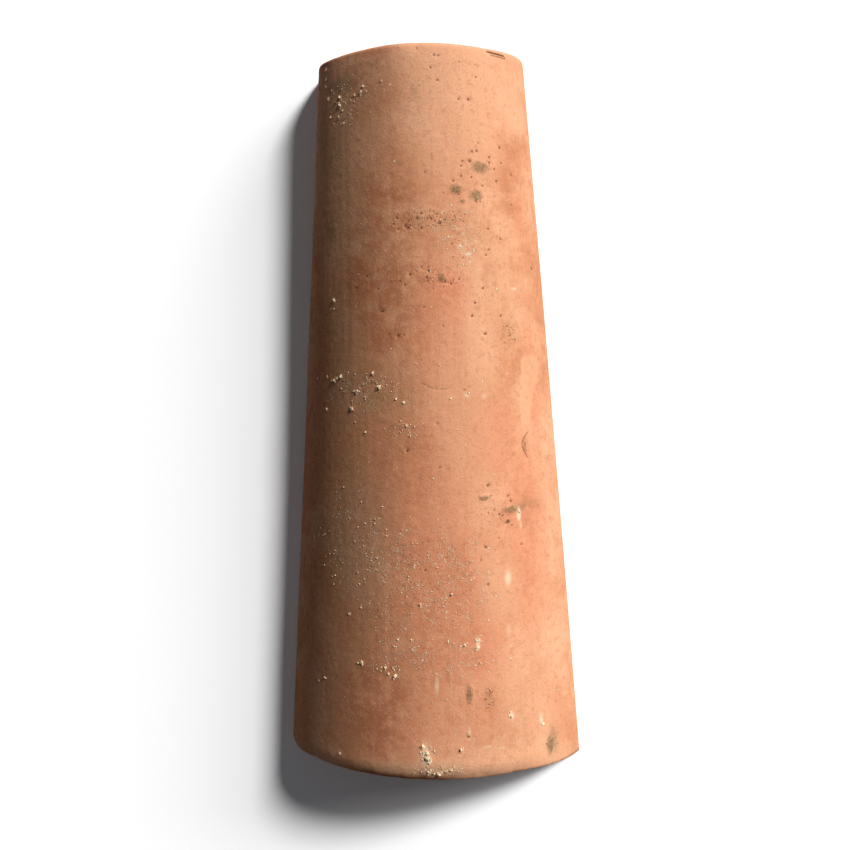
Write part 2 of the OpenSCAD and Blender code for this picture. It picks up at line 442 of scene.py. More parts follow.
class Arch:
    """The tapered arch that the slab of clay is bent over, in metres."""

    # Warp of the narrow end: the angles it lies between, and the share along at which it starts
    SHOULDER = (math.radians(-84), math.radians(-20))
    SHOULDER_FROM = 0.5
    RIDGE = (math.radians(-22), math.radians(22))
    RIDGE_FROM = 0.8

    def __init__(self, shape):
        self.length = shape.length
        self.shoulder, self.ridge = shape.shoulder, shape.ridge
        self.wide_radius = self.arc_radius(shape.wide_width, shape.wide_height)
        self.narrow_radius = self.arc_radius(shape.narrow_width, shape.narrow_height)
        self.wide_sunk = self.wide_radius - shape.wide_height
        self.narrow_sunk = self.narrow_radius - shape.narrow_height

    @staticmethod
    def arc_radius(chord, rise):
        return (chord * chord / 4 + rise * rise) / (2 * rise)

    def share_along(self, y):
        return y / self.length + 0.5

    def radius(self, y):
        return self.wide_radius + (self.narrow_radius - self.wide_radius) * self.share_along(y)

    def sunk(self, y):
        """How far the arc's centre lies under the floor."""
        return self.wide_sunk + (self.narrow_sunk - self.wide_sunk) * self.share_along(y)

    def warp(self, y, lean):
        """Extra reach of the left shoulder and the crown; lean is the angle toward the right foot."""
        along = self.share_along(y)
        shoulder = smooth((along - self.SHOULDER_FROM) / (1 - self.SHOULDER_FROM))
        ridge = smooth((along - self.RIDGE_FROM) / (1 - self.RIDGE_FROM))
        return (
            self.shoulder * shoulder * hump(lean, *self.SHOULDER)
            + self.ridge * ridge * hump(lean, *self.RIDGE)
        )

    def foot_angle(self, y, depth):
        """Angle over the horizon, seen from the arc's centre, at which the wall meets the floor."""
        return math.asin(self.sunk(y) / (self.radius(y) - depth))

    def place(self, y, share, depth):
        """Point at a share across from foot (-1) to foot (1), at a depth under the outer skin."""
        lean = share * (math.pi / 2 - self.foot_angle(y, depth))
        r = self.radius(y) - depth + self.warp(y, lean)
        return Vector((r * math.sin(lean), y, r * math.cos(lean) - self.sunk(y)))

    def outward(self, point):
        """Direction away from the arc's centre, in the section's plane."""
        return Vector((point.x, 0.0, point.z + self.sunk(point.y))).normalized()

    def around(self, point):
        """Direction round the arch toward the right foot."""
        out = self.outward(point)
        return Vector((out.z, 0.0, -out.x))

    def arc(self, point):
        """Signed distance round the arch from the crown line."""
        height = point.z + self.sunk(point.y)
        return math.atan2(point.x, height) * self.radius(point.y)

    def clearance(self, point):
        """How far a point lies outside the outer skin."""
        height = point.z + self.sunk(point.y)
        skin = self.radius(point.y) + self.warp(point.y, math.atan2(point.x, height))
        return math.hypot(point.x, height) - skin


def camera_turn(stage):
    return Euler([math.radians(a) for a in stage.camera_turn], "XYZ")


class Sight:
    """The camera's lines of sight, used to put marks where they are seen."""

    # Steps of the search along a line, and how many times the tile's height above the floor it starts
    STEPS = 400
    HEADROOM = 2

    def __init__(self, stage, arch):
        self.place = Vector(stage.camera_place)
        self.turn = camera_turn(stage).to_matrix()
        self.focal = stage.focal_pixels
        self.arch = arch

    def ray(self, across, down):
        half = IMAGE_SIZE / 2
        return self.turn @ Vector(((across - half) / self.focal, (half - down) / self.focal, -1.0))

    def on_tile(self, across, down):
        """Point of the outer skin that is seen at a pixel, or None beside the tile."""
        ray = self.ray(across, down)
        start = (self.place.z - self.HEADROOM * CAD_BOX[1].z) / -ray.z
        end = self.place.z / -ray.z
        last = start
        for step in range(1, self.STEPS + 1):
            t = start + (end - start) * step / self.STEPS
            point = self.place + t * ray
            if abs(point.y) <= self.arch.length / 2 and self.arch.clearance(point) < 0:
                return self.place + (last + t) / 2 * ray
            last = t
        return None

    def pixels_per_metre(self, point):
        return self.focal / (self.place - point).length


def new_piece(name, bm, material):
    """Turns a bmesh into an object that rides on the tile's body."""
    mesh = bpy.data.meshes.new(name)
    bm.to_mesh(mesh)
    bm.free()
    mesh.materials.append(material)
    piece = bpy.data.objects.new(name, mesh)
    bpy.context.scene.collection.objects.link(piece)
    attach(piece, BODY)
    return piece


class Slab:
    """A flat slab of clay with round edges, bent over the arch into the tile's closed skin."""

    # Columns kept for the rounding of a foot, and how much room they get beside it
    FOOT_COLUMNS = 5
    FOOT_ROOM = 1.2
    # Shares across between which the ends go from wiped round to left square, and what is left of the nose
    CROWN_SHARE, FOOT_SHARE = 0.4, 0.85
    LEAST_NOSE = 0.15
    WEAR_REACH = 9 * MM
    TINY = 0.001 * MM

    def __init__(self, shape, arch):
        self.shape = shape
        self.arch = arch
        half = shape.length / 2
        self.wide_line = -half + shape.wide_nose - self.swell(shape.wide_nose, 0.0)
        self.narrow_line = half - shape.narrow_nose + self.swell(shape.narrow_nose, 0.0)
        self.ends = (
            (-1, self.wide_line, shape.wide_nose, shape.wide_wear),
            (1, self.narrow_line, shape.narrow_nose, shape.narrow_wear),
        )

    def swell(self, nose, depth):
        """How far a nose reaches beyond its centre at a depth in the wall."""
        return math.sqrt(nose**2 - (depth - self.shape.wall / 2) ** 2)

    def flat(self):
        """Flat closed slab: X counts columns, Y runs along, Z is the depth under the outer skin."""
        s = self.shape
        bm = bmesh.new()
        outer = [(y, 0.0) for y in (self.wide_line, self.narrow_line)]
        inner = [(y, -s.wall) for y in (self.narrow_line, self.wide_line)]
        ring = [bm.verts.new((0.0, y, z)) for y, z in outer + inner]
        sides = [bm.edges.new((ring[i], ring[(i + 1) % 4])) for i in range(4)]
        for side, rows in zip(sides, (s.outer_rows, s.nose_rows, s.inner_rows, s.nose_rows)):
            bmesh.ops.subdivide_edges(bm, edges=[side], cuts=rows - 1)
        section = list(bm.edges)
        made = bmesh.ops.spin(
            bm, geom=list(bm.verts) + section, cent=(0, 0, 0), axis=(0, 1, 0), angle=0.0,
            dvec=(1.0, 0.0, 0.0), steps=s.columns, use_duplicate=False,
        )
        last = [e for e in made["geom_last"] if isinstance(e, bmesh.types.BMEdge)]
        for loop in (section, last):
            bmesh.ops.edgeloop_fill(bm, edges=loop)
        bmesh.ops.recalc_face_normals(bm, faces=bm.faces)
        return bm

    def wiped(self, share):
        """How far the ends are wiped and worn round: 1 over the crown, 0 at the feet."""
        return smooth((self.FOOT_SHARE - abs(share)) / (self.FOOT_SHARE - self.CROWN_SHARE))

    def nosed(self, y, share, depth):
        """Place along the tile after the ends are wiped round; toward the feet they are left square."""
        kept = self.LEAST_NOSE + (1 - self.LEAST_NOSE) * self.wiped(share)
        for end, line, nose, _ in self.ends:
            reach = end * (line - y)
            short = nose - self.swell(nose, depth)
            if reach <= self.TINY:
                return end * (self.shape.length / 2 - kept * short)
            if reach < self.WEAR_REACH:
                return y + end * (1 - kept) * short * (1 - reach / self.WEAR_REACH) ** 2
        return y

    def worn(self, y, share, depth):
        """Depth after the rims' outer edges are worn round; y is the place along the flat slab."""
        outer = max(0.0, 1 - 2 * depth / self.shape.wall) * self.wiped(share)
        for end, line, _, wear in self.ends:
            depth += outer * wear * max(0.0, 1 - end * (line - y) / self.WEAR_REACH) ** 2
        return depth

    def share_across(self, column):
        """Share across for a column: the ones at the feet are closer together, for the rounding."""
        n = self.shape.columns
        edge = min(column, n - column)
        foot = self.FOOT_ROOM * self.shape.foot_round / self.arch.wide_radius
        if edge < self.FOOT_COLUMNS:
            inset = foot * edge / self.FOOT_COLUMNS
        else:
            inset = foot + (1 - foot) * (edge - self.FOOT_COLUMNS) / (n / 2 - self.FOOT_COLUMNS)
        return inset - 1 if column <= n / 2 else 1 - inset

    def rounded(self, y, share, depth):
        """Depth after the long edges' corners are rounded."""
        s = self.shape
        reach = (1 - abs(share)) * self.arch.radius(y) * (math.pi / 2 - self.arch.foot_angle(y, 0.0))
        if reach >= s.foot_round:
            return depth
        fall = s.foot_round - reach
        pull = s.foot_round - math.sqrt(s.foot_round**2 - fall**2)
        middle = s.wall / 2
        return middle + (depth - middle) * (1 - pull / middle)

    def bent(self):
        """Closed skin of the tile, with each point's depth kept in a layer."""
        bm = self.flat()
        kept = bm.verts.layers.float.new("depth")
        for v in bm.verts:
            depth = -v.co.z
            share = self.share_across(round(v.co.x))
            y = self.nosed(v.co.y, share, depth)
            v[kept] = depth
            v.co = self.arch.place(y, share, self.rounded(y, share, self.worn(v.co.y, share, depth)))
        for f in bm.faces:
            f.smooth = len(f.verts) == 4
        return bm


class Weather:
    """Marks of making and weather, and areas of painted light and painted shade: moves the skin's points and
    fills the layers that the clay reads.
    """

    SPOTS = (("lichen", LICHEN), ("smear", SMEARS), ("lime", LIME))
    ZONES = (
        ("ochre", OCHRE_ZONES), ("rosy", ROSY_ZONES), ("pale", PALE_AND_PAINTED_LIGHT_ZONES), ("deep", DEEP_AND_PAINTED_SHADE_ZONES),
        ("dust_and_painted_light", DUST_AND_PAINTED_LIGHT_ZONES), ("grime", GRIME_ZONES), ("speck", SPECK_FIELDS), ("streak", STREAK_ZONES),
    )
    OTHER_LAYERS = ("pit", "rub", "score", "wide_rim", "narrow_rim", "hollow")
    # Noise of the skin: waves a metre across and along, waves through the wall, start, roughness, octaves
    WAVES = (
        ("sway", 11, 8, 3, 0, 1.0, 3),
        ("drag", 260, 5, 9, 5, 0.8, 3),
        ("grain", 240, 240, 9, 11, 0.7, 3),
    )
    LACUNARITY = 2.0
    # Nibbled rims: waves a metre across and along, start, spread of the two ends, roughness and octaves
    NIBBLES = (70, 50, 23, 3, 0.8, 4)
    LEAST_NIBBLE = 0.05
    RIM = 14 * MM
    FINE_CUTS = 2
    FINE_ROOM = 1.2 * MM
    # Pits: share of the width that is cut finer, share of the depth that is geometry, ragged edge
    PIT_CORE = 0.6
    PIT_SHARE = 0.45
    PIT_EDGE, PIT_RAGGED, PIT_WAVES = 0.15, 0.35, 600
    # Reach of spots and zones as a share of their size, with room for ragged and soft edges
    SPOT_REACH = 0.9
    ZONE_REACH = 1.5
    STEEP = 1.4
    SCORE_REACH = 1.2 * MM
    SCORE_STEP = MM / 2
    # Rubbed wedge: width of its sharp edge, length of its faded head, fade of its far side
    WEDGE_EDGE, WEDGE_HEAD, WEDGE_FADE = 1.5 * MM, 14 * MM, 1.5
    GROUND = 6 * MM

    def __init__(self, bm, arch, sight, shape, relief):
        self.bm, self.arch, self.sight = bm, arch, sight
        self.shape, self.relief = shape, relief
        names = [name for name, _ in self.SPOTS + self.ZONES]
        self.layer = {name: bm.verts.layers.float.new(name) for name in (*names, *self.OTHER_LAYERS)}
        self.depth = bm.verts.layers.float["depth"]
        self.find_skin()
        self.refine()
        self.find_skin()
        self.push = {v: 0.0 for v in bm.verts}

    def find_skin(self):
        self.bm.verts.index_update()
        self.skin = [v for v in self.bm.verts if v[self.depth] < self.shape.wall / 2]
        self.tree = KDTree(len(self.skin))
        for i, v in enumerate(self.skin):
            self.tree.insert(v.co, i)
        self.tree.balance()

    def along(self, line):
        """Points close together on the skin along a line of pixels."""
        places = [self.sight.on_tile(*pixel) for pixel in line]
        for a, b in zip(places, places[1:]):
            steps = max(1, round((b - a).length / self.SCORE_STEP))
            for step in range(steps):
                yield a.lerp(b, step / steps)

    def fine_marks(self):
        """Centre and reach of each mark that is small for the mesh."""
        for across, down, width, _ in PITS:
            yield self.sight.on_tile(across, down), self.PIT_CORE * width * MM
        for line, _ in SCORES:
            for centre in self.along(line):
                yield centre, 0.0

    def refine(self):
        """Cuts the mesh finer round the small marks and lays the new points on the arch."""
        picked = set()
        for centre, reach in self.fine_marks():
            for _, i, _ in self.tree.find_range(centre, reach + self.FINE_ROOM):
                picked.add(self.skin[i].index)
        edges = [e for e in self.bm.edges if all(v.index in picked for v in e.verts)]
        made = bmesh.ops.subdivide_edges(self.bm, edges=edges, cuts=self.FINE_CUTS, use_grid_fill=True)
        for v in made["geom_inner"]:
            if isinstance(v, bmesh.types.BMVert) and abs(v.co.y) < self.shape.length / 2 - self.RIM:
                v.co -= self.arch.outward(v.co) * self.arch.clearance(v.co)
        uneven = [f for f in self.bm.faces if f.smooth and len(f.verts) > 4]
        bmesh.ops.triangulate(self.bm, faces=uneven, ngon_method="BEAUTY")

    def near(self, centre, wide, long):
        """Points of the outer skin in an ellipse, with 1 at its centre falling to 0 at its edge."""
        around = self.arch.around(centre)
        for co, i, _ in self.tree.find_range(centre, max(wide, long)):
            offset = co - centre
            distance = math.hypot(offset.dot(around) / wide, offset.y / long)
            if distance < 1:
                yield self.skin[i], 1 - distance

    def paint(self, name, vert, value):
        layer = self.layer[name]
        vert[layer] = max(vert[layer], value)

    def pits(self):
        """Small holes with ragged edges."""
        for across, down, width, depth in PITS:
            centre = self.sight.on_tile(across, down)
            for v, value in self.near(centre, width * MM, width * MM):
                ragged = self.PIT_RAGGED * noise.noise(self.PIT_WAVES * v.co)
                value = max(0.0, value - self.PIT_EDGE + ragged)
                self.paint("pit", v, value)
                self.push[v] -= self.PIT_SHARE * depth * MM * smooth(value * self.STEEP)

    def spots(self):
        """Lichen, smears and lime, each where it is seen; lichen stands out as a crust."""
        for name, marks in self.SPOTS:
            for across, down, width, length, *strength in marks:
                centre = self.sight.on_tile(across, down)
                reach = self.SPOT_REACH * width * MM, self.SPOT_REACH * length * MM
                for v, value in self.near(centre, *reach):
                    self.paint(name, v, value * (strength or [1.0])[0])
                    if name == "lichen":
                        self.push[v] += self.relief.crust * smooth(2 * value - 0.6)

    def zones(self):
        """Soft tinted areas, among them painted light and painted shade, and fields of specks, sized in
        pixels as they are seen.
        """
        for name, marks in self.ZONES:
            for across, down, half_wide, half_high, strength in marks:
                centre = self.sight.on_tile(across, down)
                scale = self.ZONE_REACH / self.sight.pixels_per_metre(centre)
                for v, value in self.near(centre, half_wide * scale, half_high * scale):
                    self.paint(name, v, smooth(self.STEEP * value) * min(1.0, strength))

    def rubbed_wedge(self):
        """Shallow worn wedge: it starts sharply along its line, and fades at its far side and its head."""
        line = [self.sight.on_tile(across, down) for across, down, _ in RUB_LINE]
        widths = [width * MM for _, _, width in RUB_LINE]
        for a, b, wide_a, wide_b in zip(line, line[1:], widths, widths[1:]):
            middle = a.lerp(b, 0.5)
            around = self.arch.around(middle)
            for co, i, _ in self.tree.find_range(middle, (b - a).length / 2 + wide_a):
                share = (co.y - a.y) / (b.y - a.y)
                if 0 <= share <= 1:
                    across = (co - a.lerp(b, share)).dot(around)
                    width = wide_a + (wide_b - wide_a) * share
                    edge = smooth(across / self.WEDGE_EDGE + 0.5)
                    head = smooth((line[0].y - co.y) / self.WEDGE_HEAD)
                    far = smooth(self.WEDGE_FADE * (1 - across / width))
                    self.paint("rub", self.skin[i], edge * far * head)

    def scores(self):
        """Fine lines, painted along their length."""
        for line, strength in SCORES:
            for centre in self.along(line):
                for v, value in self.near(centre, self.SCORE_REACH, self.SCORE_REACH):
                    self.paint("score", v, strength * value)

    def nibble(self, arc, y):
        """How much of a chip there is at a place on a rim."""
        across, along, start, spread, roughness, octaves = self.NIBBLES
        where = Vector((arc * across, y * along, start + math.copysign(spread, y)))
        return max(0.0, noise.fractal(where, roughness, self.LACUNARITY, octaves) - self.LEAST_NIBBLE)

    def unevenness(self):
        """Slow sway, wiped drag lines and grain over the whole skin, and nibbled end rims."""
        for v in self.bm.verts:
            arc, y = self.arch.arc(v.co), v.co.y
            inside = v[self.depth] / self.shape.wall
            for name, across, along, through, start, roughness, octaves in self.WAVES:
                where = Vector((arc * across, y * along, start + inside * through))
                wave = noise.fractal(where, roughness, self.LACUNARITY, octaves)
                self.push[v] += getattr(self.relief, name) * wave
            v[self.layer["hollow"]] = smooth(4 * inside - 2)
            rim = 1 - (self.shape.length / 2 - abs(y)) / self.RIM
            if rim > 0:
                v[self.layer["wide_rim" if y < 0 else "narrow_rim"]] = rim
                self.push[v] -= self.relief.chips * smooth(1.4 * rim - 0.4) * self.nibble(arc, y)
        for v in self.skin:
            for name, steep in (("rub", 2), ("score", 1)):
                self.push[v] -= getattr(self.relief, name) * smooth(steep * v[self.layer[name]])

    def apply(self):
        """Paints every mark, then moves the points out or in, less and less toward the ground."""
        self.pits()
        self.spots()
        self.zones()
        self.rubbed_wedge()
        self.scores()
        self.unevenness()
        for v, push in self.push.items():
            direction = self.arch.outward(v.co)
            if v[self.depth] > self.shape.wall / 2:
                direction = -direction
            v.co += direction * push * smooth(v.co.z / self.GROUND)
            v.co.z = max(0.0, v.co.z)


class Nodes:
    """Short names for the nodes of a material or the world."""

    def __init__(self, owner, output="OutputMaterial"):
        owner.use_nodes = True
        self.tree = owner.node_tree
        self.tree.nodes.clear()
        self.output = self.new(output)

    def new(self, kind, inputs=None, **settings):
        """New node with its settings, and its inputs given by name or by place."""
        made = self.tree.nodes.new("ShaderNode" + kind)
        for name, value in settings.items():
            setattr(made, name, value)
        for socket, value in (inputs or {}).items():
            self.put(made.inputs[socket], value)
        return made

    def put(self, socket, value):
        """Links a socket to another node's output, or sets it to a number, vector or colour."""
        if isinstance(value, bpy.types.NodeSocket):
            self.tree.links.new(value, socket)
        elif isinstance(value, (tuple, Color)):
            socket.default_value = (*value, 1.0) if len(socket.default_value) == 4 else value
        else:
            socket.default_value = value

    def show(self, shader):
        self.put(self.output.inputs["Surface"], shader)

    def math(self, operation, a, b):
        return self.new("Math", {0: a, 1: b}, operation=operation).outputs["Value"]

    def plus(self, a, b):
        return self.math("ADD", a, b)

    def times(self, a, b):
        return self.math("MULTIPLY", a, b)

    def larger(self, a, b):
        return self.math("MAXIMUM", a, b)

    def between(self, value, low, high):
        """0 at low, 1 at high, smooth between them; low may be the larger."""
        inputs = {"Value": value, "From Min": low, "From Max": high}
        return self.new("MapRange", inputs, interpolation_type="SMOOTHSTEP").outputs["Result"]

    def mix(self, amount, a, b):
        """Mix of two colours: the sockets for colours are the node's seventh and eighth."""
        made = self.new("Mix", data_type="RGBA")
        for socket, value in ((0, amount), (6, a), (7, b)):
            self.put(made.inputs[socket], value)
        return made.outputs[2]

    def seen(self):
        """1 for rays from the camera, off glossy surfaces and through clear ones, 0 for bounced light."""
        path = self.new("LightPath").outputs
        glossy_or_clear = self.larger(path["Is Glossy Ray"], path["Is Transmission Ray"])
        return self.larger(path["Is Camera Ray"], glossy_or_clear)


class SkinNodes(Nodes):
    """Nodes for a finish that reads Object coordinates and the skin's layers."""

    def __init__(self, material):
        super().__init__(material)
        self.where = self.new("TexCoord").outputs["Object"]

    def attribute(self, name):
        return self.new("Attribute", attribute_name=name).outputs["Fac"]

    def stretched(self, scale):
        return self.new("Mapping", {"Vector": self.where, "Scale": scale}).outputs["Vector"]

    def noise(self, scale, detail=4.0, roughness=0.55, distortion=0.0, where=None):
        inputs = {
            "Vector": where or self.where, "Scale": scale, "Detail": detail,
            "Roughness": roughness, "Distortion": distortion,
        }
        return self.new("TexNoise", inputs).outputs["Fac"]

    def wobbled(self, scale, reach):
        """Object coordinates pushed about by noise, so that shapes drawn on them come out uneven."""
        wave = self.new("TexNoise", {"Vector": self.where, "Scale": scale, "Detail": 3.0})
        inputs = {0: wave.outputs["Color"], 1: (reach, reach, reach), 2: self.where}
        return self.new("VectorMath", inputs, operation="MULTIPLY_ADD").outputs["Vector"]

    def specks(self, scale, reach, share, where):
        """Scattered specks: reach is their size in cells, share how many of the cells have one."""
        cells = self.new("TexVoronoi", {"Vector": where, "Scale": scale}).outputs
        draw = self.new("SeparateColor", {"Color": cells["Color"]}).outputs
        edge = self.plus(self.times(draw["Green"], reach), 0.35 * reach)
        inside = self.between(self.math("DIVIDE", cells["Distance"], edge), 1.0, 0.55)
        return self.times(inside, self.math("LESS_THAN", draw["Red"], share))

    def ragged(self, name, scale, low, high, spread):
        """Mask with an uneven edge from a soft layer of the skin."""
        soft = self.attribute(name)
        edge = self.times(self.plus(self.noise(scale, 6.0, 0.65), -0.5), 2 * spread)
        return self.times(self.between(self.plus(soft, edge), low, high), self.between(soft, 0.0, 0.15))

    def surface(self, colour, roughness, height, distance):
        bump = self.new("Bump", {"Height": height, "Distance": distance}).outputs["Normal"]
        inputs = {
            "Base Color": colour, "Roughness": roughness, "Specular IOR Level": MATT_GLOSS, "Normal": bump,
        }
        self.show(self.new("BsdfPrincipled", inputs).outputs["BSDF"])


class FiredClay:
    """Weathered terracotta: the firing, then what wear and weather laid on it, coat after coat, with painted
    light and painted shade in some areas and on the wide rim.
    """

    BUMP = 0.5 * MM

    def __init__(self, tints):
        self.material = bpy.data.materials.new("fired_clay")
        self.tints = tints
        self.n = n = SkinNodes(self.material)
        self.broad = n.noise(15.0, 4.0, 0.55, 0.5)
        self.patch = n.noise(70.0, 5.0, 0.6, 0.4)
        self.mottle = n.noise(230.0, 5.0, 0.65)
        self.grain = n.noise(620.0, 4.0, 0.6)
        self.sand = n.noise(1700.0, 2.0, 0.5)
        self.drag = n.noise(1.0, 4.0, 0.55, where=n.stretched((420.0, 12.0, 420.0)))

    def coat(self, mask, strength, tint):
        """Lays a colour over what is there."""
        self.colour = self.n.mix(self.n.times(mask, strength), self.colour, tint)

    def firing(self):
        """Paler and redder areas of the body, films of dust, the rubbed wedge and pale streaks; some of the
        paler, deeper and dust areas are painted light and painted shade.
        """
        n, t = self.n, self.tints
        self.colour = n.mix(n.between(self.broad, 0.38, 0.66), t.body, t.pale)
        self.coat(n.between(self.patch, 0.48, 0.72), 0.5, t.deep)
        # The pale and dust layers hold painted light as well as paler clay and dust; the deep layer holds
        # painted shade as well as deeper clay
        for layer, field, low, high, strength, tint in (
            ("rosy", self.broad, 0.2, 0.6, 0.7, t.rosy),
            ("ochre", self.patch, 0.72, 0.32, 0.8, t.ochre),
            ("deep", self.patch, 0.3, 0.6, 0.9, t.deep),
            ("dust_and_painted_light", self.mottle, 0.2, 0.55, 0.8, t.dust_and_painted_light_tint),
            ("pale", self.mottle, 0.1, 0.55, 0.88, t.pale),
        ):
            self.coat(n.times(n.attribute(layer), n.between(field, low, high)), strength, tint)
        self.coat(n.ragged("rub", 210.0, 0.2, 0.7, 0.15), 0.7, t.pale)
        lines = n.times(n.between(self.drag, 0.48, 0.68), n.between(self.mottle, 0.45, 0.62))
        self.coat(n.times(lines, n.attribute("streak")), 0.5, t.lime)

    def mottling(self):
        """Fine darker and paler mottling of the whole skin."""
        t = self.tints
        for field, low, high, strength, tint in (
            (self.drag, 0.52, 0.72, 0.16, t.deep),
            (self.mottle, 0.52, 0.68, 0.40, t.deep),
            (self.mottle, 0.47, 0.32, 0.40, t.pale),
            (self.grain, 0.54, 0.70, 0.40, t.deep),
            (self.grain, 0.46, 0.30, 0.35, t.pale),
            (self.sand, 0.54, 0.72, 0.32, t.deep),
            (self.sand, 0.46, 0.28, 0.28, t.pale),
        ):
            self.coat(self.n.between(field, low, high), strength, tint)

    def rims(self):
        """Dust on the wide rim, painted shade on the wide rim's arris along its middle stretch, and the
        narrow rim's worn lip, darker all along and paler toward the right.
        """
        n, t = self.n, self.tints
        across = n.new("SeparateXYZ", {"Vector": n.where}).outputs["X"]
        wide = n.attribute("wide_rim")
        self.coat(n.times(n.between(wide, 0.1, 0.5), n.between(self.mottle, 0.2, 0.55)), 0.2, t.dust_and_painted_light_tint)
        # Painted shade: the wide rim's arris is darkened with the rusty colour along its middle stretch,
        # where the nose turns away from the light
        painted_shade_stretch = n.times(n.between(across, 0.040, 0.018), n.between(across, -0.065, -0.025))
        self.coat(n.times(n.between(wide, 0.55, 0.95), painted_shade_stretch), 0.8, t.rust)
        lip = n.between(n.attribute("narrow_rim"), 0.35, 0.8)
        self.coat(lip, 0.4, t.deep)
        self.coat(n.times(lip, n.between(across, -0.012, 0.004)), 0.7, t.pale)

    def grime(self):
        """Grey-brown film, and rusty specks that are thicker in the grimy areas."""
        n, t = self.n, self.tints
        self.coat(n.ragged("smear", 260.0, 0.2, 0.9, 0.4), 0.55, t.lichen)
        thicker = n.times(n.attribute("grime"), 0.15)
        blots = n.between(n.plus(n.noise(430.0, 3.0, 0.6, 0.6), thicker), 0.73, 0.80)
        dots = n.between(n.plus(n.noise(900.0, 2.0, 0.5, 0.4), thicker), 0.74, 0.81)
        self.coat(blots, 0.6, t.rust)
        self.coat(dots, 0.5, t.rust)
        self.rust = n.larger(blots, dots)

    def flecks(self):
        """Cream specks: clumps in their fields, some in the hollow and a few everywhere."""
        n = self.n
        clump = n.between(n.noise(105.0, 3.0), 0.44, 0.62)
        field = n.times(n.attribute("speck"), n.plus(n.times(clump, 0.9), 0.1))
        share = n.plus(n.plus(n.times(field, 1.1), n.times(n.attribute("hollow"), 0.10)), 0.012)
        uneven = n.wobbled(640.0, 0.0022)
        coarse = n.specks(430.0, 0.34, n.times(share, 0.6), uneven)
        fine = n.specks(900.0, 0.45, share, uneven)
        self.light = n.larger(coarse, n.times(fine, 0.7))
        self.coat(self.light, 0.78, self.tints.lime)

    def marks(self):
        """Lime smears, lichen crust, dark scores and dirt in the pits."""
        n, t = self.n, self.tints
        self.coat(n.ragged("lime", 620.0, 0.15, 0.7, 0.3), 0.72, t.lime)
        self.lichen = n.ragged("lichen", 520.0, 0.32, 0.85, 0.5)
        self.coat(self.lichen, 0.72, n.mix(n.between(self.grain, 0.4, 0.65), t.lichen, t.moss))
        self.score = n.ragged("score", 700.0, 0.35, 0.9, 0.12)
        self.coat(self.score, 0.85, t.pit)
        self.coat(n.ragged("pit", 900.0, 0.28, 0.72, 0.3), 0.72, t.pit)

    def finish(self):
        """Lays every coat, then gives the surface its fine relief and roughness."""
        n = self.n
        self.firing()
        self.mottling()
        self.rims()
        self.grime()
        self.flecks()
        self.marks()
        height = n.plus(n.times(self.grain, 0.5), n.times(self.sand, 0.25))
        for relief, share in (
            (self.light, 0.7),
            (self.rust, -0.5),
            (n.times(self.lichen, self.grain), 0.9),
            (self.score, -0.6),
        ):
            height = n.plus(height, n.times(relief, share))
        n.surface(self.colour, n.plus(n.times(self.patch, 0.2), 0.72), height, self.BUMP)
        return self.material


def lime_mortar(tints):
    """Cream mortar with sand in it."""
    material = bpy.data.materials.new("lime_mortar")
    n = SkinNodes(material)
    sand = n.noise(1100.0, 5.0, 0.65)
    colour = n.mix(n.times(n.between(sand, 0.5, 0.75), 0.6), tints.lime, tints.ochre)
    n.surface(colour, n.plus(n.times(sand, 0.3), 0.7), sand, 0.4 * MM)
    return material


class ROOFTILE_OT_tile(Operator):
    """Model the tile as a slab bent over its arch, weather it and give it its clay"""

    bl_idname = "roof_tile.tile"
    bl_label = "Fired tile"

    def execute(self, context):
        scene = context.scene
        shape, relief = scene.tile_shape, scene.tile_relief
        arch = Arch(shape)
        bm = Slab(shape, arch).bent()
        Weather(bm, arch, Sight(scene.tile_stage, arch), shape, relief).apply()
        piece = new_piece(TILE_PIECE, bm, FiredClay(scene.tile_colours).finish())
        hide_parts(TILE_NODE)
        return {"FINISHED"}


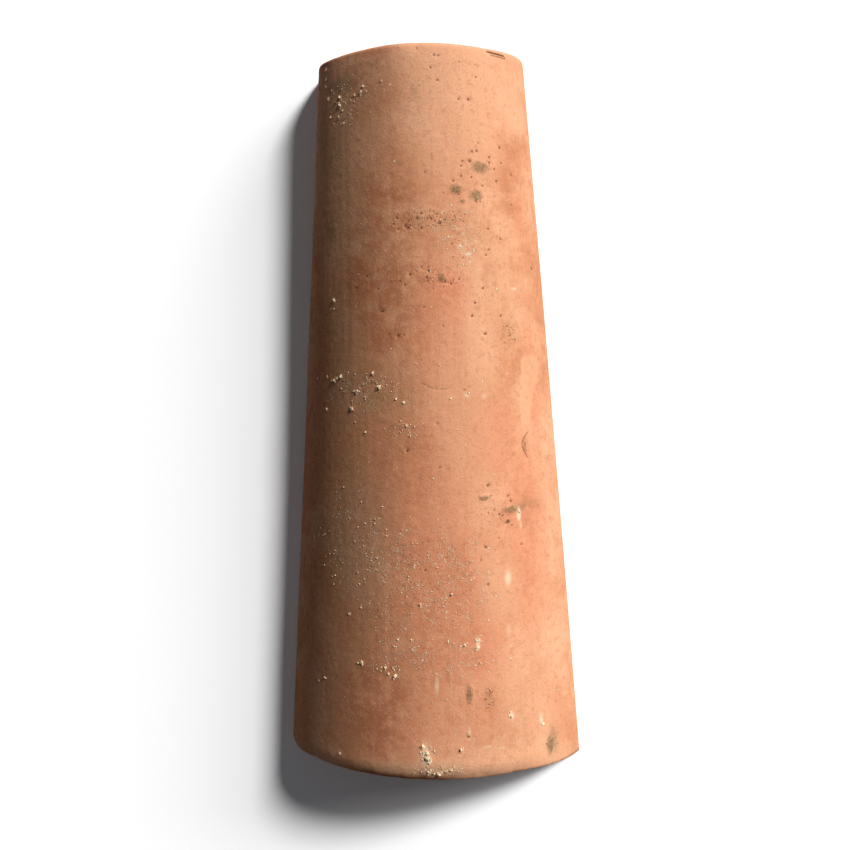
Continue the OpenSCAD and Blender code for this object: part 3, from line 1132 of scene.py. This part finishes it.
class ROOFTILE_OT_crumbs(Operator):
    """Strew mortar crumbs on the tile, the large ones where they are seen"""

    bl_idname = "roof_tile.crumbs"
    bl_label = "Mortar crumbs"

    # Width in mm of the crumbs in the fields, and the width from which a crumb has smaller ones beside it
    FIELD_WIDTH = (0.5, 1.3)
    LARGE = 1.5 * MM
    # Smaller ones for each mm of width, then how far off they lie and how wide they are, by the large one
    BESIDE = 1.5
    BESIDE_REACH = (0.3, 0.8)
    BESIDE_WIDTH = (0.25, 0.55)
    # Shape of one lump by its width: length, height, how far its middle stands out, how jagged it is
    LUMP_LENGTH = (0.6, 0.95)
    LUMP_HEIGHT = (0.6, 0.85)
    LUMP_PROUD = 0.12
    LUMP_JAG = 0.17

    def execute(self, context):
        scene = context.scene
        arch = Arch(scene.tile_shape)
        sight = Sight(scene.tile_stage, arch)
        draw = random.Random(scene.tile_relief.seed)
        skin = bpy.data.objects[TILE_PIECE].data
        tree = KDTree(len(skin.vertices))
        for v in skin.vertices:
            tree.insert(v.co, v.index)
        tree.balance()
        bm = bmesh.new()
        for across, down, width in self.places(draw):
            seen = sight.on_tile(across, down)
            if seen is None:
                continue
            co, index, _ = tree.find(seen)
            self.crumb(bm, seen.lerp(co, 0.5), skin.vertices[index].normal, width * MM, draw)
        new_piece(CRUMB_PIECE, bm, lime_mortar(scene.tile_colours))
        return {"FINISHED"}

    def places(self, draw):
        """The large crumbs, then the small ones of each field."""
        yield from CRUMBS
        for across, down, half_wide, half_high, count in SPECK_FIELDS:
            for _ in range(count):
                reach, angle = math.sqrt(draw.random()), draw.uniform(0, math.tau)
                yield (
                    across + half_wide * reach * math.cos(angle),
                    down + half_high * reach * math.sin(angle),
                    draw.uniform(*self.FIELD_WIDTH),
                )

    def crumb(self, bm, place, normal, width, draw):
        """One sharp grain set into the skin, with smaller ones heaped on and broken off a large one."""
        self.lump(bm, place, normal, width, draw)
        aside = normal.orthogonal().normalized()
        for _ in range(1 + int(self.BESIDE * width / MM) if width > self.LARGE else 0):
            turn = Matrix.Rotation(draw.uniform(0, math.tau), 3, normal)
            near = place + turn @ aside * width * draw.uniform(*self.BESIDE_REACH)
            self.lump(bm, near, normal, width * draw.uniform(*self.BESIDE_WIDTH), draw)

    def lump(self, bm, place, normal, width, draw):
        turn = normal.to_track_quat("Z", "Y").to_matrix().to_4x4()
        turn @= Matrix.Rotation(draw.uniform(0, math.tau), 4, "Z")
        length = width * draw.uniform(*self.LUMP_LENGTH)
        height = width * draw.uniform(*self.LUMP_HEIGHT)
        shift = Matrix.Translation(place + normal * width * self.LUMP_PROUD)
        shape = shift @ turn @ Matrix.Diagonal((width, length, height, 1.0))
        made = bmesh.ops.create_icosphere(bm, subdivisions=1, radius=0.5, matrix=shape)
        jag = self.LUMP_JAG * width
        for v in made["verts"]:
            v.co += Vector([draw.uniform(-jag, jag) for _ in range(3)])


class ROOFTILE_OT_stage(Operator):
    """Set the pale floor, the lights and the camera"""

    bl_idname = "roof_tile.stage"
    bl_label = "Floor, light and camera"

    def execute(self, context):
        scene = context.scene
        stage = scene.tile_stage
        self.floor(scene, stage)
        self.lamp(scene, "key", stage.key_from, stage.key_strength, stage.key_softness)
        self.lamp(scene, "side", stage.side_from, stage.side_strength, stage.side_softness)
        self.sky(scene, stage)
        self.camera(scene, stage)
        scene.view_settings.view_transform = "Standard"
        return {"FINISHED"}

    def floor(self, scene, stage):
        """Pale floor: white to the camera, dim to bounced light, so that the shaded flank stays dark."""
        bm = bmesh.new()
        bmesh.ops.create_grid(bm, x_segments=1, y_segments=1, size=stage.floor_reach)
        bmesh.ops.translate(bm, verts=bm.verts, vec=(0.0, 0.0, -stage.floor_drop))
        mesh = bpy.data.meshes.new("floor")
        bm.to_mesh(mesh)
        bm.free()
        material = bpy.data.materials.new("pale_floor")
        n = Nodes(material)
        dim = n.new("BsdfDiffuse", {"Color": stage.floor_bounce}).outputs["BSDF"]
        paint = n.new("BsdfDiffuse", {"Color": stage.floor_colour}).outputs["BSDF"]
        n.show(n.new("MixShader", {0: n.seen(), 1: dim, 2: paint}).outputs["Shader"])
        mesh.materials.append(material)
        floor = bpy.data.objects.new("floor", mesh)
        scene.collection.objects.link(floor)
        floor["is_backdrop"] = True

    def lamp(self, scene, name, direction, strength, softness):
        light = bpy.data.lights.new(name, "SUN")
        light.energy = strength
        light.angle = math.radians(softness)
        lamp = bpy.data.objects.new(name, light)
        lamp.rotation_euler = Vector(direction).to_track_quat("Z", "Y").to_euler()
        scene.collection.objects.link(lamp)

    def sky(self, scene, stage):
        """Dim even fill for the tile, and a white backdrop to the camera."""
        scene.world = scene.world or bpy.data.worlds.new("sky")
        n = Nodes(scene.world, "OutputWorld")
        colour = n.mix(n.seen(), stage.sky_colour, WHITE)
        n.show(n.new("Background", {"Color": colour}).outputs["Background"])

    def camera(self, scene, stage):
        lens = bpy.data.cameras.new("camera")
        lens.sensor_width = SENSOR_WIDTH
        lens.lens = stage.focal_pixels / IMAGE_SIZE * SENSOR_WIDTH
        camera = bpy.data.objects.new("camera", lens)
        camera.location = stage.camera_place
        camera.rotation_euler = camera_turn(stage)
        scene.collection.objects.link(camera)
        scene.camera = camera


class ROOFTILE_PT_panel(Panel):
    """Sizes, wear and colours of the tile"""

    bl_label = "Roof Tile"
    bl_idname = "ROOFTILE_PT_panel"
    bl_space_type = "VIEW_3D"
    bl_region_type = "UI"
    bl_category = "Roof Tile"

    def draw(self, context):
        for operator in OPERATORS:
            self.layout.operator(operator.bl_idname)
        for name in GROUPS:
            box = self.layout.box()
            group = getattr(context.scene, name)
            for prop in group.bl_rna.properties:
                if not prop.is_readonly and prop.identifier != "name":
                    box.prop(group, prop.identifier)


GROUPS = {
    "tile_shape": TileShape,
    "tile_relief": TileRelief,
    "tile_colours": ClayColours,
    "tile_stage": StageLook,
}
OPERATORS = (ROOFTILE_OT_stage, ROOFTILE_OT_tile, ROOFTILE_OT_crumbs)


def register():
    for cls in (*GROUPS.values(), *OPERATORS, ROOFTILE_PT_panel):
        bpy.utils.register_class(cls)
    for name, cls in GROUPS.items():
        setattr(bpy.types.Scene, name, PointerProperty(type=cls))


def unregister():
    for name in GROUPS:
        delattr(bpy.types.Scene, name)
    for cls in (ROOFTILE_PT_panel, *OPERATORS, *GROUPS.values()):
        bpy.utils.unregister_class(cls)


def main():
    register()
    bpy.ops.roof_tile.stage()
    bpy.ops.roof_tile.tile()
    bpy.ops.roof_tile.crumbs()
    boxes = {"cad": CAD_BOX, "visual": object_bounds()}
    {name: [list(corner) for corner in box] for name, box in boxes.items()}


if __name__ == "__main__":
    main()
